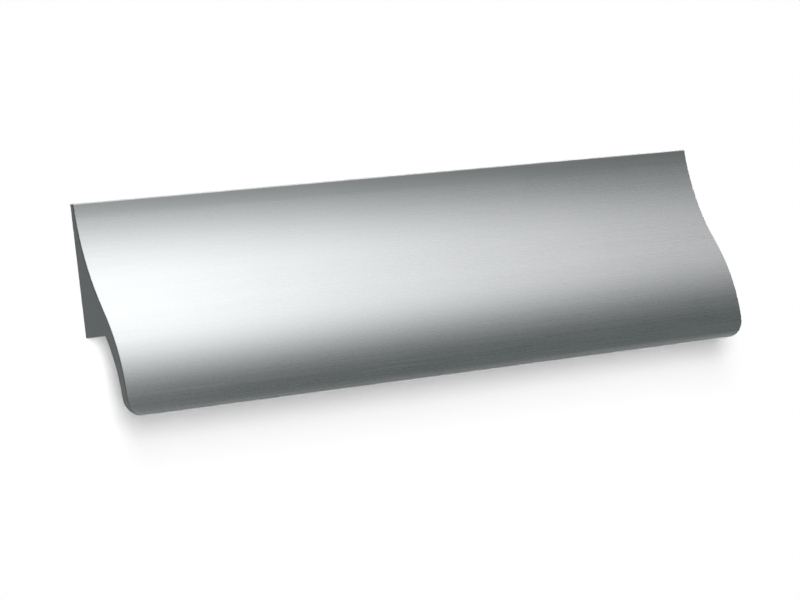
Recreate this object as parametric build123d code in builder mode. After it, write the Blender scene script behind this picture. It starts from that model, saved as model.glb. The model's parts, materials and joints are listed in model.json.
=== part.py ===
from build123d import *
from math import asin, cos, degrees, radians, sin, tan
import os

# Profile pull handle: one sawn length of extruded aluminium, in millimetres and degrees.
# X runs along the handle, +Y points to its thin edge and +Z out of the surface it is screwed to.
# The origin is on the flat back, midway between the two screw holes.

# Sawn length and hole spacing
length = 160.0
screw_spacing = 128.0

# Front of the section: a hollow arc from the thin edge, a bulging arc over the lip, and a tighter
# arc that rolls the lip's tip over. A slope is the angle between the front and the flat back.
thin_edge_thickness = 1.1
thin_edge_slope = 3.1
middle_slope = 33.3
roll_start_slope = -2.0
tip_slope = -20.0
hollow_radius = 44.1
bulge_radius = 35.3
roll_radius = 4.0

# Back of the section: the flat that lies on the drawer front, then the finger shelf and the lip
back_height = 27.2
lip_root_thickness = 2.9
lip_tip_thickness = 1.7
lip_root_fillet = 0.6

# Edges
lip_corner_radius = 4.0
front_edge_radius = 0.2
back_edge_radius = 0.25

# Blind holes tapped for M4 screws, which come through the drawer front from behind
tapping_drill_diameter = 3.3
drill_point_angle = 118.0
mouth_diameter = 4.4
mouth_angle = 90.0
front_skin = 1.5

# The hollow and the bulge meet on the screw line, y = 0, where the section is this thick
thin_edge_y = hollow_radius * (sin(radians(middle_slope)) - sin(radians(thin_edge_slope)))
screw_line_thickness = thin_edge_thickness + hollow_radius * (
    cos(radians(thin_edge_slope)) - cos(radians(middle_slope))
)
bulge_center = Vector(
    -bulge_radius * sin(radians(middle_slope)),
    screw_line_thickness - bulge_radius * cos(radians(middle_slope)),
)


def behind_bulge(slope, thickness):
    """Section point, as (y, z), squarely behind the place on the bulging arc with this slope."""
    reach = bulge_radius - thickness
    return bulge_center + Vector(reach * sin(radians(slope)), reach * cos(radians(slope)))


def on_part(point):
    """Place of a section point, halfway along the handle."""
    return Vector(0, point.X, point.Y)


# The lip's inner face is an arc from the shelf to the tip, through the mean thickness midway
shelf_y = thin_edge_y - back_height
root_slope = degrees(asin((shelf_y - bulge_center.X) / (bulge_radius - lip_root_thickness)))
mean_slope = (root_slope + roll_start_slope) / 2
mean_thickness = (lip_root_thickness + lip_tip_thickness) / 2
lip_root = behind_bulge(root_slope, lip_root_thickness)
lip_middle = behind_bulge(mean_slope, mean_thickness)

# The front falls towards the thin edge, so a hole's rim on that side has the least metal before it
drill_radius = tapping_drill_diameter / 2
hole_depth = screw_line_thickness - drill_radius * tan(radians(middle_slope)) - front_skin
drill_point_height = drill_radius / tan(radians(drill_point_angle / 2))

with BuildPart() as handle:
    # Extruded section. In its sketch, local X is the part's +Y and local Y is the part's +Z.
    with BuildSketch(Plane.YZ) as section:
        with BuildLine():
            hollow = JernArc(
                start=(thin_edge_y, thin_edge_thickness),
                tangent=(-cos(radians(thin_edge_slope)), sin(radians(thin_edge_slope))),
                radius=hollow_radius,
                arc_size=thin_edge_slope - middle_slope,
            )
            bulge = JernArc(
                start=hollow @ 1,
                tangent=hollow % 1,
                radius=bulge_radius,
                arc_size=middle_slope - roll_start_slope,
            )
            roll = JernArc(
                start=bulge @ 1,
                tangent=bulge % 1,
                radius=roll_radius,
                arc_size=roll_start_slope - tip_slope,
            )
            lip_tip = roll @ 1 - Vector(0, lip_tip_thickness)
            Line(roll @ 1, lip_tip)
            ThreePointArc(lip_tip, lip_middle, lip_root)
            Polyline(lip_root, (shelf_y, 0), (thin_edge_y, 0), hollow @ 0)
        make_face()
        fillet(section.vertices().sort_by_distance(lip_root)[0], lip_root_fillet)
    extrude(amount=length / 2, both=True)

    # The lip's two free corners are rounded
    fillet(handle.edges().filter_by(Axis.Z).group_by(Axis.Y)[0], lip_corner_radius)

    # Soft edge round the whole front, but not along the seams between its three arcs
    front_edges = ShapeList()
    for arc in (hollow, bulge, roll):
        front_edges += handle.faces().sort_by_distance(on_part(arc @ 0.5))[0].edges()
    seams = [handle.edges().sort_by_distance(on_part(arc @ 1))[0] for arc in (hollow, bulge)]
    fillet(front_edges - ShapeList(seams), front_edge_radius)

    # The lip's inner face and the ends of the shelf have a like edge
    inner_face = handle.faces().sort_by_distance(on_part(lip_middle))[0]
    root_edge = inner_face.edges().sort_by(Axis.Y)[-1]
    fillet(inner_face.edges() - ShapeList([root_edge]), back_edge_radius)

    # The same fine edge round the back
    back_face = handle.faces().sort_by(Axis.Z)[0]
    fillet(back_face.edges(), back_edge_radius)

    # Blind holes from the back, each with a countersunk mouth and a drill point
    back = Plane(origin=(0, 0, 0), x_dir=(1, 0, 0), z_dir=(0, 0, -1))
    with Locations(back):
        with GridLocations(screw_spacing, 1, 2, 1):
            CounterSinkHole(drill_radius, mouth_diameter / 2, hole_depth, mouth_angle)
    with Locations(back.offset(-hole_depth)):
        with GridLocations(screw_spacing, 1, 2, 1):
            Cone(
                bottom_radius=0,
                top_radius=drill_radius,
                height=drill_point_height,
                align=(Align.CENTER, Align.CENTER, Align.MAX),
                mode=Mode.SUBTRACT,
            )

handle.part.label = "handle"

os.makedirs("parts", exist_ok=True)
export_step(handle.part, "parts/handle.step")
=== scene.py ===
"""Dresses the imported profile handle: satin anodised finish, sawn ends, and a plain white studio."""

import json
from math import atan2, cos, hypot, radians, sin, tan, tau

import bmesh
import bpy
from bpy.props import FloatProperty, FloatVectorProperty, PointerProperty
from bpy.types import Operator, Panel, PropertyGroup
from mathutils import Euler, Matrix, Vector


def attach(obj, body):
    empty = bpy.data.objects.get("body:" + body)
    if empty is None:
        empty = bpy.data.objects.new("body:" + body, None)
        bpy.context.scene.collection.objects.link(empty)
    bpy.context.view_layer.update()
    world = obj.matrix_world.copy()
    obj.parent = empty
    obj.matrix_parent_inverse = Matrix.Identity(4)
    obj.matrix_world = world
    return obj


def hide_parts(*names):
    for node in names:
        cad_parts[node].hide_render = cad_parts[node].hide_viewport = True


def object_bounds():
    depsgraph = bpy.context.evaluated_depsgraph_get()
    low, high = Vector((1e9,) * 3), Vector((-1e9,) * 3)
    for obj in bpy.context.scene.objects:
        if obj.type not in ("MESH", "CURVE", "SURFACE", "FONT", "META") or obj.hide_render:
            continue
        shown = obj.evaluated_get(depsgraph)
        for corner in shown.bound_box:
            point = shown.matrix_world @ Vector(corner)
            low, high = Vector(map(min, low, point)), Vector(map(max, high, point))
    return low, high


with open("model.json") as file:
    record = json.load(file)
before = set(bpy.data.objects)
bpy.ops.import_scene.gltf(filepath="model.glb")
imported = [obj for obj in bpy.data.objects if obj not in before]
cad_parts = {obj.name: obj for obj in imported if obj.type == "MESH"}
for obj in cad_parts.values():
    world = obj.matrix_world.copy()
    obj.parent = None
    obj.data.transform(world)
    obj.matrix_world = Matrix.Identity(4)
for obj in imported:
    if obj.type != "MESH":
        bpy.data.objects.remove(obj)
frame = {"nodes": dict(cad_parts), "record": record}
CAD_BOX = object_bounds()
FINISH = frame["record"]["materials"][0]
HOLES = [mount for mount in frame["record"]["mounts"] if mount["kind"] == "threaded_hole"]

# Thread form: the angle between its flanks, and its flat root as a share of the pitch
THREAD_ANGLE = radians(60)
ROOT_FLAT = 1 / 8

# Steps in one turn of the thread, and the steps over which it starts and runs out
THREAD_STEPS = 64
THREAD_RUN_IN = 16
THREAD_RUN_OUT = 64

# Points nearer than this many metres are one, and so are turns nearer than a turn in this many parts
TOUCHING = 0.00001
TURN_PARTS = 3600

# How far a face has turned towards X, Y or Z, from where it begins to count as this kind to where
# it fully does
SAWN_END = (0.3, 0.5)
FRONT_OR_BACK = (0.5, 0.8)
FRONT = (0.05, 0.25)
THIN_EDGE_RIM = (0.58, 0.7)
LIP_RIM = (0.12, 0.4)
END_RIM = (0.1, 0.3)

# A milled lip corner begins at its radius from the edges, and is full at this share of it
CORNER_FULL = 0.9

# Coordinates for the lines that the die leaves: noise is drawn out a hundred times along the profile
DRAWN_OUT = (0.01, 1, 1)

# The cut metal of a hole reaches this much further than its mouth, so that its rim is whole
MOUTH_MARGIN = 1.01

# Stretch of the tent that the photograph's camera sees mirrored, in metres along the tent and in
# angles down its far side. From FAR_SIDE_ENDS on it stops higher up, at FAR_SIDE_UPPER.
SHOWN_FROM = (0, 0.15)
SHOWN_TO = (0.6, 0.8)
FAR_SIDE_STARTS = (0, radians(30))
FAR_SIDE_LOWER = (radians(48), radians(64))
FAR_SIDE_UPPER = (radians(15), radians(30))
FAR_SIDE_ENDS = (0.38, 0.5)

# Angles from overhead between which the plain rest of the tent goes from its dark to its bright
PLAIN_SIDES = (radians(10), radians(55))

# Flat pieces in the tent's arch, and its two open ends in metres along the handle
TENT_STEPS = 96
TENT_ENDS = (-0.6, 1.2)

# Half the floor's side, and how far it lies below the handle's back, in metres
FLOOR_HALF = 4.0
FLOOR_DROP = 0.00005

# Each key light's name, its place in the fan, and its share of their strength
KEYS = (("key_upper", 1, 0.17), ("key_middle", 0, 0.49), ("key_lower", -1, 0.34))

bl_info = {
    "name": "Profile handle",
    "version": (1, 0, 0),
    "blender": (4, 5, 0),
    "location": "3D View > Sidebar > Handle",
    "description": "Finishes an extruded aluminium furniture handle and sets up its studio",
    "category": "Object",
}


class Wire:
    """A socket of a node tree. Arithmetic on wires adds the Math nodes that work it out."""

    def __init__(self, tree, socket=None):
        self.tree = tree
        self.socket = socket

    def node(self, kind, settings=None, inputs=None, output=0):
        """A node of this kind, with its settings and the values or links of its sockets."""
        made = self.tree.nodes.new(kind)
        for name, value in (settings or {}).items():
            setattr(made, name, value)
        for name, value in (inputs or {}).items():
            if isinstance(value, Wire):
                self.tree.links.new(value.socket, made.inputs[name])
            else:
                made.inputs[name].default_value = value
        return Wire(self.tree, made.outputs[output] if made.outputs else None)

    def maths(self, operation, *values):
        return self.node("ShaderNodeMath", {"operation": operation}, dict(enumerate(values)))

    def vector(self, operation, *values, output=0):
        settings = {"operation": operation}
        return self.node("ShaderNodeVectorMath", settings, dict(enumerate(values)), output)

    def mix(self, factor, first, second):
        """A colour between first and second."""
        values = {"Factor": factor, 6: first, 7: second}
        return self.node("ShaderNodeMix", {"data_type": "RGBA"}, values, output=2)

    def noise(self, size, detail=2):
        """Noise about 0.5, with features of this size in metres at these coordinates."""
        values = {"Vector": self, "Scale": 1 / size, "Detail": detail}
        return self.node("ShaderNodeTexNoise", None, values)

    def lines(self, size, detail=2):
        """Noise about 0.5 along this one number, with lines of this size in metres."""
        values = {"W": self, "Scale": 1 / size, "Detail": detail}
        return self.node("ShaderNodeTexNoise", {"noise_dimensions": "1D"}, values)

    def ease(self, low, high):
        """0 below low, 1 above high, and smooth between."""
        values = {"Value": self, "From Min": low, "From Max": high}
        return self.node("ShaderNodeMapRange", {"interpolation_type": "SMOOTHSTEP"}, values)

    def axis(self, name):
        """One coordinate of a vector."""
        return self.node("ShaderNodeSeparateXYZ", None, {0: self}, "XYZ".index(name))

    def __add__(self, other):
        return self.maths("ADD", self, other)

    def __sub__(self, other):
        return self.maths("SUBTRACT", self, other)

    def __rsub__(self, other):
        return self.maths("SUBTRACT", other, self)

    def __mul__(self, other):
        return self.maths("MULTIPLY", self, other)

    def __truediv__(self, other):
        return self.maths("DIVIDE", self, other)

    def __rtruediv__(self, other):
        return self.maths("DIVIDE", other, self)

    def __abs__(self):
        return self.maths("ABSOLUTE", self)

    __radd__ = __add__
    __rmul__ = __mul__


class HandleFinish(PropertyGroup):
    """Finish of the extruded profile."""

    colour: FloatVectorProperty(
        name="Metal", description="Colour of the anodised metal", subtype="COLOR",
        size=3, min=0, max=1, default=FINISH["base_color"],
    )
    roughness: FloatProperty(
        name="Roughness", description="Roughness of the satin front", min=0, max=1, default=0.28,
        subtype="FACTOR",
    )
    die_line_width: FloatProperty(
        name="Die line width", description="Width of the fine lines that the die leaves",
        unit="LENGTH", min=0.00001, default=0.0003,
    )
    die_line_depth: FloatProperty(
        name="Die line depth", description="Depth of the fine lines that the die leaves",
        unit="LENGTH", min=0, default=0.000002,
    )
    streak_width: FloatProperty(
        name="Streak width", description="Width of the broader streaks between the fine lines",
        unit="LENGTH", min=0.00001, default=0.0036,
    )
    grain_size: FloatProperty(
        name="Grain size", description="Size of the satin etch's fine grain", unit="LENGTH",
        min=0.00001, default=0.00009,
    )
    grain_depth: FloatProperty(
        name="Grain depth", description="Depth of the satin etch's fine grain", unit="LENGTH",
        min=0, default=0.0000004,
    )
    cloud_size: FloatProperty(
        name="Cloud size", description="Size of the faint clouds in the anodised film",
        unit="LENGTH", min=0.0001, default=0.025,
    )
    tone_spread: FloatProperty(
        name="Tone spread", description="Share by which the metal is lighter or darker in places",
        min=0, max=1, default=0.04, subtype="FACTOR",
    )
    # The rims' lightness is painted shade
    painted_rim_shade: FloatProperty(
        name="Rim shade", description="Lightness of the dull rims next to the front's", min=0,
        max=1, default=0.5, subtype="FACTOR",
    )
    # The patches vary both the rims' dullness and their painted shade
    rim_patch_size: FloatProperty(
        name="Rim patch size", description="Size of the patches in which the rims are duller",
        unit="LENGTH", min=0.0001, default=0.004,
    )
    lip_corner: FloatProperty(
        name="Lip corner", description="Radius of the milled corners of the lip", unit="LENGTH",
        min=0, default=0.004,
    )
    thin_edge_band: FloatProperty(
        name="Thin edge band", description="Width over which the film darkens towards the thin edge",
        unit="LENGTH", min=0.0001, default=0.004,
    )
    # The thin edge's darkening is painted shade; its dullness is roughness
    thin_edge_dulling_and_painted_shade: FloatProperty(
        name="Thin edge dullness", description="How dull the thin edge is next to the rims", min=0,
        max=1, default=0.35, subtype="FACTOR",
    )
    # The sawn ends' and milled corners' dark colour is painted shade, darker than the metal itself
    sawn_end_painted_shade: FloatVectorProperty(
        name="Sawn end", description="Colour of the sawn ends and milled corners",
        subtype="COLOR", size=3, min=0, max=1, default=(0.11, 0.12, 0.121),
    )
    sawn_roughness: FloatProperty(
        name="Sawn roughness", description="Roughness of the sawn ends", min=0, max=1,
        default=0.5, subtype="FACTOR",
    )
    saw_centre: FloatVectorProperty(
        name="Saw centre", description="Centre of the blade whose arcs mark the ends",
        subtype="TRANSLATION", size=3, default=(0, -0.11, 0.13),
    )
    saw_mark_width: FloatProperty(
        name="Saw mark width", description="Width of the arcs on the sawn ends", unit="LENGTH",
        min=0.00001, default=0.0003,
    )
    saw_mark_depth: FloatProperty(
        name="Saw mark depth", description="Depth of the arcs on the sawn ends", unit="LENGTH",
        min=0, default=0.000012,
    )
    saw_mark_contrast: FloatProperty(
        name="Saw mark contrast", description="Share by which the arcs are lighter or darker",
        min=0, max=1, default=0.3, subtype="FACTOR",
    )
    bore_colour: FloatVectorProperty(
        name="Bore", description="Colour of the cut metal in the tapped holes", subtype="COLOR",
        size=3, min=0, max=1, default=(0.7, 0.7, 0.69),
    )
    bore_roughness: FloatProperty(
        name="Bore roughness", description="Roughness of the tapped holes", min=0, max=1,
        default=0.28, subtype="FACTOR",
    )
    mouth_radius: FloatProperty(
        name="Mouth radius", description="Radius of the holes' countersunk mouths",
        unit="LENGTH", min=0, default=0.0022,
    )
    thread_pitch: FloatProperty(
        name="Thread pitch", description="Pitch of the M4 threads in the holes", unit="LENGTH",
        min=0.0001, default=0.0007,
    )
    thread_radius: FloatProperty(
        name="Thread radius", description="Outer radius of the M4 threads, out to their grooves",
        unit="LENGTH", min=0, default=0.002,
    )


class HandleStudio(PropertyGroup):
    """Camera, lights and floor."""

    camera_place: FloatVectorProperty(
        name="Camera", description="Place of the camera", subtype="TRANSLATION",
        size=3, default=(-0.37841, -0.00781, 0.55005),
    )
    camera_turn: FloatVectorProperty(
        name="Camera rotation", description="Rotation of the camera", subtype="EULER",
        size=3, default=(radians(4.861), radians(-34.017), radians(-8.201)),
    )
    focal_length: FloatProperty(
        name="Focal length", description="Focal length in millimetres on a 36 mm sensor",
        min=1, default=139.3,
    )
    floor_colour: FloatVectorProperty(
        name="Floor", description="Colour of the matt floor", subtype="COLOR", size=3, min=0,
        max=1, default=(0.85, 0.85, 0.85),
    )
    tent_radius: FloatProperty(
        name="Tent radius", description="Radius of the light tent over the handle",
        unit="LENGTH", min=0.1, default=0.4,
    )
    tent_dark: FloatVectorProperty(
        name="Tent dark", description="Light of the tent's dark strip overhead", subtype="COLOR",
        size=3, min=0, max=1, default=(0.08, 0.093, 0.095),
    )
    tent_bright: FloatVectorProperty(
        name="Tent bright", description="Light of the bright side next to the plain end",
        subtype="COLOR", size=3, min=0, max=4, default=(2.60, 2.63, 2.66),
    )
    tent_far_side: FloatVectorProperty(
        name="Tent far side", description="Light of the tent's other side, which the lip's rim sees",
        subtype="COLOR", size=3, min=0, max=3, default=(0.21, 0.224, 0.226),
    )
    tent_plain_dark: FloatVectorProperty(
        name="Plain dark", description="Light overhead at the tent's plain ends", subtype="COLOR",
        size=3, min=0, max=3, default=(0.295, 0.3, 0.305),
    )
    tent_plain_bright: FloatVectorProperty(
        name="Plain bright", description="Light of both sides at the tent's plain ends",
        subtype="COLOR", size=3, min=0, max=3, default=(0.79, 0.8, 0.81),
    )
    tent_rise_start: FloatProperty(
        name="Rise start", description="Angle from overhead at which the dark strip ends",
        subtype="ANGLE", default=radians(3),
    )
    tent_rise_end: FloatProperty(
        name="Rise end", description="Angle from overhead at which the tent is at its brightest",
        subtype="ANGLE", default=radians(52.8),
    )
    tent_tilt: FloatProperty(
        name="Tent tilt", description="Radians by which the dark strip turns along each metre",
        default=radians(35.4),
    )
    tent_tilt_centre: FloatProperty(
        name="Tilt centre", description="Place along the tent where the dark strip isn't turned",
        unit="LENGTH", default=0.3,
    )
    tent_fade_length: FloatProperty(
        name="Fade length", description="Length over which the bright side fades", unit="LENGTH",
        min=0.001, default=0.259,
    )
    key_tilt: FloatProperty(
        name="Key tilt", description="Angle from overhead of the key lights, which are on the left",
        subtype="ANGLE", default=radians(25),
    )
    key_fan: FloatProperty(
        name="Key fan", description="Angle between one key light and the next", subtype="ANGLE",
        min=0, default=radians(21.5),
    )
    key_turn: FloatProperty(
        name="Key turn", description="Angle of the middle key light towards the thin edge's side",
        subtype="ANGLE", default=radians(10.5),
    )
    key_spread: FloatProperty(
        name="Key spread", description="Angle that each key light fills, which softens shadows",
        subtype="ANGLE", min=0, default=radians(26),
    )
    key_strength: FloatProperty(
        name="Key strength", description="All key lights together in watts per square metre", min=0,
        default=4.1,
    )
    fill: FloatProperty(
        name="Fill", description="Level of the light from all round", min=0, default=0.05,
    )


def new_material(name):
    """An empty material and a wire in its tree."""
    material = bpy.data.materials.new(name)
    material.use_nodes = True
    material.node_tree.nodes.clear()
    return material, Wire(material.node_tree)


def shade(colour, level):
    """The colour made this much lighter or darker."""
    return (*(min(1, channel * level) for channel in colour), 1)


def shades(colour, spread):
    """The colour made darker and lighter by this share."""
    return shade(colour, 1 - spread), shade(colour, 1 + spread)


def open_bore(shape, x, y, bore, ends):
    """Take a bore's plain wall out of the mesh, and make new points round its two open ends."""
    wall = [
        face for face in shape.faces
        if all(abs(hypot(vert.co.x - x, vert.co.y - y) - bore) < TOUCHING for vert in face.verts)
    ]
    if not wall:
        raise RuntimeError("a tapped hole has no wall of its radius")
    rings = []
    for end in ends:
        places = {}
        for vert in {vert for face in wall for vert in face.verts}:
            if abs(vert.co.z - end) < TOUCHING:
                turn = atan2(vert.co.y - y, vert.co.x - x) / tau
                places[round(turn * TURN_PARTS) % TURN_PARTS / TURN_PARTS] = vert.co.copy()
        rings.append(sorted((turn, tuple(place)) for turn, place in places.items()))
    bmesh.ops.delete(shape, geom=wall, context="FACES")
    return [[(turn, shape.verts.new(place)) for turn, place in ring] for ring in rings]


def close_gap(shape, ring, border, seam):
    """Faces between a ring and the border of a ribbon, once round, and along the ribbon's end."""
    lower, upper = 0, 0
    while lower < len(ring) - 1 or upper < len(border) - 1:
        corners = [ring[lower][1], border[upper][1]]
        along_border = lower == len(ring) - 1 or (
            upper < len(border) - 1 and border[upper + 1][0] < ring[lower + 1][0]
        )
        if along_border:
            upper += 1
            corners.append(border[upper][1])
        else:
            lower += 1
            corners.append(ring[lower][1])
        if lower == len(ring) - 1 and upper == len(border) - 1:
            after = corners.index(border[-1][1]) + 1
            corners[after:after] = seam
        shape.faces.new(corners).smooth = True


def cut_thread(shape, hole, finish):
    """Make the wall of one bore again with a right-hand thread, as a ribbon that winds up it."""
    x, y, middle = hole["pos_m"]
    bore = hole["dims"]["r_mm"] / 1000
    half = hole["dims"]["length_mm"] / 2000
    low, high = open_bore(shape, x, y, bore, (middle - half, middle + half))

    # Form of one turn: how far up the pitch each corner lies, and its share of the depth
    depth = finish.thread_radius - bore
    pitch = finish.thread_pitch
    flank = depth * tan(THREAD_ANGLE / 2) / pitch
    form = ((0, 0), (flank, 1), (flank + ROOT_FLAT, 1), (2 * flank + ROOT_FLAT, 0))
    last = THREAD_STEPS * (int((2 * half - 2 * TOUCHING) / pitch) - 1)

    def point(step, up, out):
        turn = tau * (low[0][0] + step / THREAD_STEPS)
        cut = min(1, step / THREAD_RUN_IN, max(0, last - step) / THREAD_RUN_OUT)
        reach = bore + depth * out * cut
        height = middle - half + TOUCHING + pitch * (step / THREAD_STEPS + up)
        return shape.verts.new((x + reach * cos(turn), y + reach * sin(turn), height))

    rows = [[point(step, up, out) for up, out in form] for step in range(last + 1)]
    crest = [row[0] for row in rows]
    crest += [point(last + step, 0, 0) for step in range(1, THREAD_STEPS + 1)]
    for step in range(last):
        here = [*rows[step], crest[step + THREAD_STEPS]]
        there = [*rows[step + 1], crest[step + 1 + THREAD_STEPS]]
        for level in range(len(form)):
            corners = (here[level], here[level + 1], there[level + 1], there[level])
            shape.faces.new(corners).smooth = True
            shape.edges.get((here[level], there[level])).smooth = False

    # The wall's two ends, which lie between the ribbon and the rings
    around = [(step / THREAD_STEPS, step) for step in range(THREAD_STEPS + 1)]
    ring = [(turn - low[0][0], vert) for turn, vert in low] + [(1, low[0][1])]
    border = [(turn, crest[step]) for turn, step in around]
    close_gap(shape, ring, border, rows[0][:0:-1] + rows[0][:1])
    ring = [(0, high[0][1])]
    ring += [(1 - turn + high[0][0], vert) for turn, vert in reversed(high)]
    border = [(turn, crest[last + THREAD_STEPS - step]) for turn, step in around]
    close_gap(shape, ring, border, [*rows[last][1:], crest[-1]])


def tapped_profile(finish):
    """The profile's own mesh with threads cut into its two bores."""
    plain = frame["nodes"]["handle"]
    mesh = plain.data.copy()
    mesh.name = "tapped_profile"
    shape = bmesh.new()
    shape.from_mesh(mesh)
    for hole in HOLES:
        cut_thread(shape, hole, finish)
    shape.to_mesh(mesh)
    shape.free()
    piece = bpy.data.objects.new("tapped_profile", mesh)
    bpy.context.collection.objects.link(piece)
    return piece


def cut_metal(finish, place):
    """Mask of the two tapped holes with their countersunk mouths."""
    inside = 0
    for hole in HOLES:
        x, y, middle = hole["pos_m"]
        deepest = middle + hole["dims"]["length_mm"] / 2000 + finish.mouth_radius / 2
        reach = place.vector("MULTIPLY", place.vector("SUBTRACT", place, (x, y, 0)), (1, 1, 0))
        reach = reach.vector("LENGTH", reach, output=1)
        height = place.axis("Z")
        near = reach.maths("LESS_THAN", reach, finish.mouth_radius * MOUTH_MARGIN)
        inside = inside + near * height.maths("LESS_THAN", height, deepest)
    return inside


def anodised_material(finish):
    """Satin anodised metal with fine lines along it, saw marks and painted shade on the ends, painted
    shade on the rims, and bare cut bores.
    """
    material, wire = new_material("anodised_aluminium")
    place = wire.node("ShaderNodeTexCoord", output="Object")
    facing = wire.node("ShaderNodeTexCoord", output="Normal")
    bore = cut_metal(finish, place)

    # Sawn ends, the milled corners of the lip, and the rest, which is as the die left it. The ends
    # and corners are coloured dark as painted shade.
    end = abs(facing.axis("X")).ease(*SAWN_END)
    corner = 1 - abs(facing.axis("Z")).ease(*FRONT_OR_BACK)
    for way, far in ((abs(place.axis("X")), CAD_BOX[1][0]), (0 - place.axis("Y"), -CAD_BOX[0][1])):
        corner = corner * way.ease(far - finish.lip_corner, far - finish.lip_corner * CORNER_FULL)
    end = end.maths("MAXIMUM", end, corner) * (1 - bore)
    drawn = 1 - end - bore

    # Lines that the die leaves, the satin etch, and faint clouds in the film
    across = place.vector("MULTIPLY", place, DRAWN_OUT)
    die_lines = across.noise(finish.die_line_width, 3) - 0.5
    streaks = across.noise(finish.streak_width) - 0.5
    grain = place.noise(finish.grain_size, 1) - 0.5
    cloud = place.noise(finish.cloud_size) - 0.5

    # Rims round the front, which are made duller and get a painted shade
    rim = facing.axis("Y").ease(*THIN_EDGE_RIM) + (0 - facing.axis("Y")).ease(*LIP_RIM)
    rim = rim.maths("MAXIMUM", rim, abs(facing.axis("X")).ease(*END_RIM))
    rim = rim * facing.axis("Z").ease(*FRONT) * drawn
    dull_and_painted_shade = rim * (0.6 + 0.4 * place.noise(finish.rim_patch_size, 4).ease(0.35, 0.65))

    # The thin edge, which is made a little duller and gets a painted shade
    thin = place.axis("Y").ease(CAD_BOX[1][1] - finish.thin_edge_band, CAD_BOX[1][1]) * drawn
    dull_and_painted_shade = dull_and_painted_shade.maths("MAXIMUM", dull_and_painted_shade, thin * finish.thin_edge_dulling_and_painted_shade)

    # Arcs that the blade leaves on the sawn ends
    from_saw = place.vector("SUBTRACT", place, tuple(finish.saw_centre))
    from_saw = from_saw.vector("LENGTH", from_saw.vector("MULTIPLY", from_saw, (0, 1, 1)), output=1)
    saw_arcs = from_saw.lines(finish.saw_mark_width, 3) - 0.5

    # How much of each kind of mark goes into the colour, the roughness and the relief
    tone = 0.5 + die_lines * 0.5 + streaks * 0.6 + cloud * 0.8
    metal = wire.mix(tone, *shades(finish.colour, finish.tone_spread))
    # Painted shade on the rims and the thin edge
    metal = wire.mix(dull_and_painted_shade, metal, shade(finish.colour, finish.painted_rim_shade))
    # Painted shade: the ends and corners are coloured dark, with the saw arcs as lighter and darker
    # marks on it
    saw_marks_and_painted_shade = wire.mix(saw_arcs + 0.5, *shades(finish.sawn_end_painted_shade, finish.saw_mark_contrast))
    colour = wire.mix(end, metal, saw_marks_and_painted_shade)
    colour = wire.mix(bore, colour, (*finish.bore_colour, 1))
    satin = finish.roughness + die_lines * 0.08 + grain * 0.06 + cloud * 0.03 + dull_and_painted_shade * 0.1
    roughness = drawn * satin + end * (finish.sawn_roughness + saw_arcs * 0.2)
    roughness = roughness + bore * finish.bore_roughness
    relief = drawn * (die_lines * finish.die_line_depth + grain * finish.grain_depth)
    relief = relief + end * saw_arcs * finish.saw_mark_depth
    shader = wire.node("ShaderNodeBsdfPrincipled", None, {
        "Base Color": colour,
        "Metallic": 1.0,
        "Roughness": roughness,
        "Normal": wire.node("ShaderNodeBump", None, {"Distance": 1.0, "Height": relief}),
    })
    wire.node("ShaderNodeOutputMaterial", None, {"Surface": shader})
    return material


class HANDLE_OT_finish_profile(Operator):
    """Tap the profile's two holes and give it its anodised finish"""

    bl_idname = "handle.finish_profile"
    bl_label = "Profile"

    def execute(self, context):
        finish = context.scene.handle_finish
        profile = tapped_profile(finish)
        profile.data.materials[0] = anodised_material(finish)
        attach(profile, "root")
        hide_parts("handle")
        return {"FINISHED"}


def floor_material(studio):
    """Matt white that the lamps bring to white and that keeps the handle's shadow."""
    material, wire = new_material("studio_floor")
    matt = wire.node("ShaderNodeBsdfDiffuse", None, {"Color": (*studio.floor_colour, 1)})
    wire.node("ShaderNodeOutputMaterial", None, {"Surface": matt})
    return material


def tent_material(studio):
    """Light with a dark strip and a bright side where the camera sees it, and plain elsewhere."""
    material, wire = new_material("light_tent")
    place = wire.node("ShaderNodeTexCoord", output="Object")
    along = place.axis("X")
    turn = wire.maths("ARCTAN2", place.axis("Y"), place.axis("Z"))
    twist = studio.tent_tilt * (along - studio.tent_tilt_centre)
    rise = (turn - twist).ease(studio.tent_rise_start, studio.tent_rise_end)
    fade = wire.maths("EXPONENT", 0 - along / studio.tent_fade_length)
    bright = wire.mix(fade, (0, 0, 0, 1), (*studio.tent_bright, 1))
    seen = wire.mix(rise, (*studio.tent_dark, 1), bright)
    seen = wire.mix((0 - turn).ease(*FAR_SIDE_STARTS), seen, (*studio.tent_far_side, 1))
    sides = abs(turn).ease(*PLAIN_SIDES)
    plain = wire.mix(sides, (*studio.tent_plain_dark, 1), (*studio.tent_plain_bright, 1))
    shown = along.ease(*SHOWN_FROM) * (1 - along.ease(*SHOWN_TO))
    shown = shown * (1 - (0 - turn).ease(*FAR_SIDE_LOWER))
    shown = shown * (1 - (0 - turn).ease(*FAR_SIDE_UPPER) * along.ease(*FAR_SIDE_ENDS))
    glow = wire.node("ShaderNodeEmission", None, {"Color": wire.mix(shown, plain, seen)})
    wire.node("ShaderNodeOutputMaterial", None, {"Surface": glow})
    return material


def make_floor(studio):
    mesh = bpy.data.meshes.new("studio_floor")
    sides = ((-1, -1), (1, -1), (1, 1), (-1, 1))
    corners = [(x * FLOOR_HALF, y * FLOOR_HALF, -FLOOR_DROP) for x, y in sides]
    mesh.from_pydata(corners, [], [(0, 1, 2, 3)])
    floor = bpy.data.objects.new("studio_floor", mesh)
    bpy.context.collection.objects.link(floor)
    mesh.materials.append(floor_material(studio))


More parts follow.
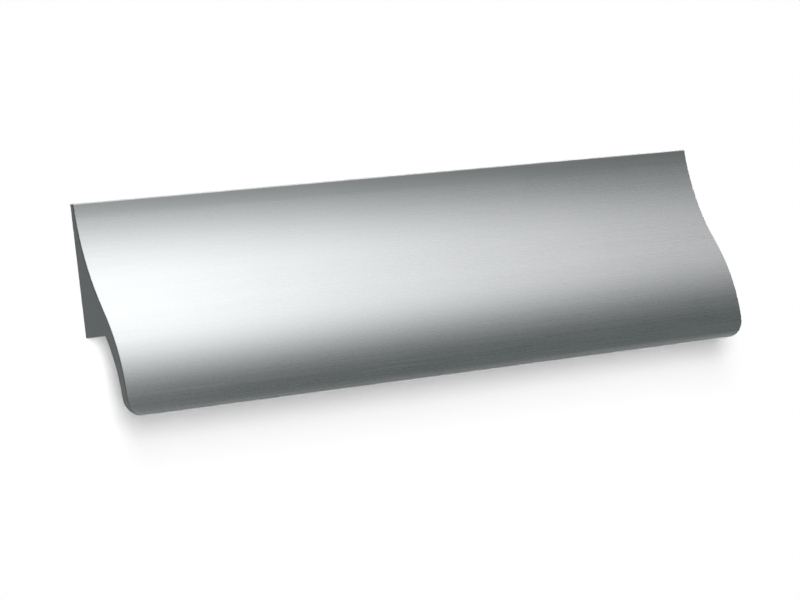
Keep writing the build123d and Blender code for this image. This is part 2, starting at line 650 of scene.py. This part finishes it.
def make_tent(studio):
    """An arch over the handle that only reflections see."""
    mesh = bpy.data.meshes.new("light_tent")
    shape = bmesh.new()
    rows = []
    for step in range(TENT_STEPS + 1):
        turn = radians(-90 + 180 * step / TENT_STEPS)
        y = studio.tent_radius * sin(turn)
        z = studio.tent_radius * cos(turn)
        rows.append([shape.verts.new((x, y, z)) for x in TENT_ENDS])
    for low, high in zip(rows, rows[1:]):
        shape.faces.new((low[0], low[1], high[1], high[0]))
    shape.to_mesh(mesh)
    shape.free()
    tent = bpy.data.objects.new("light_tent", mesh)
    bpy.context.collection.objects.link(tent)
    mesh.materials.append(tent_material(studio))
    tent.visible_camera = False
    tent.visible_diffuse = False
    tent.visible_shadow = False


def make_world(studio):
    world = bpy.data.worlds.new("studio")
    bpy.context.scene.world = world
    world.use_nodes = True
    world.node_tree.nodes.clear()
    wire = Wire(world.node_tree)
    seen = wire.node("ShaderNodeLightPath", output="Is Camera Ray")
    mirrored = wire.node("ShaderNodeLightPath", output="Is Glossy Ray")
    through = wire.node("ShaderNodeLightPath", output="Is Transmission Ray")
    white = seen.maths("MAXIMUM", seen, mirrored.maths("MAXIMUM", mirrored, through))
    strength = studio.fill + (1 - studio.fill) * white
    sky = wire.node("ShaderNodeBackground", None, {"Strength": strength})
    wire.node("ShaderNodeOutputWorld", None, {"Surface": sky})
    world.cycles.sampling_method = "NONE"


def make_keys(studio):
    """Three wide, even lights side by side that only the floor and other matt surfaces take."""
    for name, side, share in KEYS:
        light = bpy.data.lights.new(name, "SUN")
        light.energy = studio.key_strength * share
        light.angle = studio.key_spread
        key = bpy.data.objects.new(name, light)
        turn = studio.key_turn + side * studio.key_fan
        key.rotation_euler = Euler((-turn, -studio.key_tilt, 0))
        key.visible_glossy = False
        bpy.context.collection.objects.link(key)


def make_camera(studio):
    data = bpy.data.cameras.new("camera")
    data.sensor_width = 36.0
    data.lens = studio.focal_length
    camera = bpy.data.objects.new("camera", data)
    camera.location = studio.camera_place
    camera.rotation_euler = Euler(studio.camera_turn)
    bpy.context.collection.objects.link(camera)
    bpy.context.scene.camera = camera


class HANDLE_OT_set_stage(Operator):
    """Set up the floor, the light tent, the lamps and the camera"""

    bl_idname = "handle.set_stage"
    bl_label = "Stage"

    def execute(self, context):
        studio = context.scene.handle_studio
        make_floor(studio)
        make_tent(studio)
        make_world(studio)
        make_keys(studio)
        make_camera(studio)
        context.scene.view_settings.view_transform = "Standard"
        return {"FINISHED"}


OPERATORS = (HANDLE_OT_finish_profile, HANDLE_OT_set_stage)


class HANDLE_PT_panel(Panel):
    """Lists the steps that dress the handle"""

    bl_idname = "HANDLE_PT_panel"
    bl_label = "Profile handle"
    bl_space_type = "VIEW_3D"
    bl_region_type = "UI"
    bl_category = "Handle"

    def draw(self, context):
        for operator in OPERATORS:
            self.layout.operator(operator.bl_idname)


CLASSES = (HandleFinish, HandleStudio, *OPERATORS, HANDLE_PT_panel)


def register():
    for cls in CLASSES:
        bpy.utils.register_class(cls)
    bpy.types.Scene.handle_finish = PointerProperty(type=HandleFinish)
    bpy.types.Scene.handle_studio = PointerProperty(type=HandleStudio)


def unregister():
    del bpy.types.Scene.handle_studio
    del bpy.types.Scene.handle_finish
    for cls in reversed(CLASSES):
        bpy.utils.unregister_class(cls)


def main():
    register()
    bpy.ops.handle.finish_profile()
    bpy.ops.handle.set_stage()


if __name__ == "__main__":
    main()
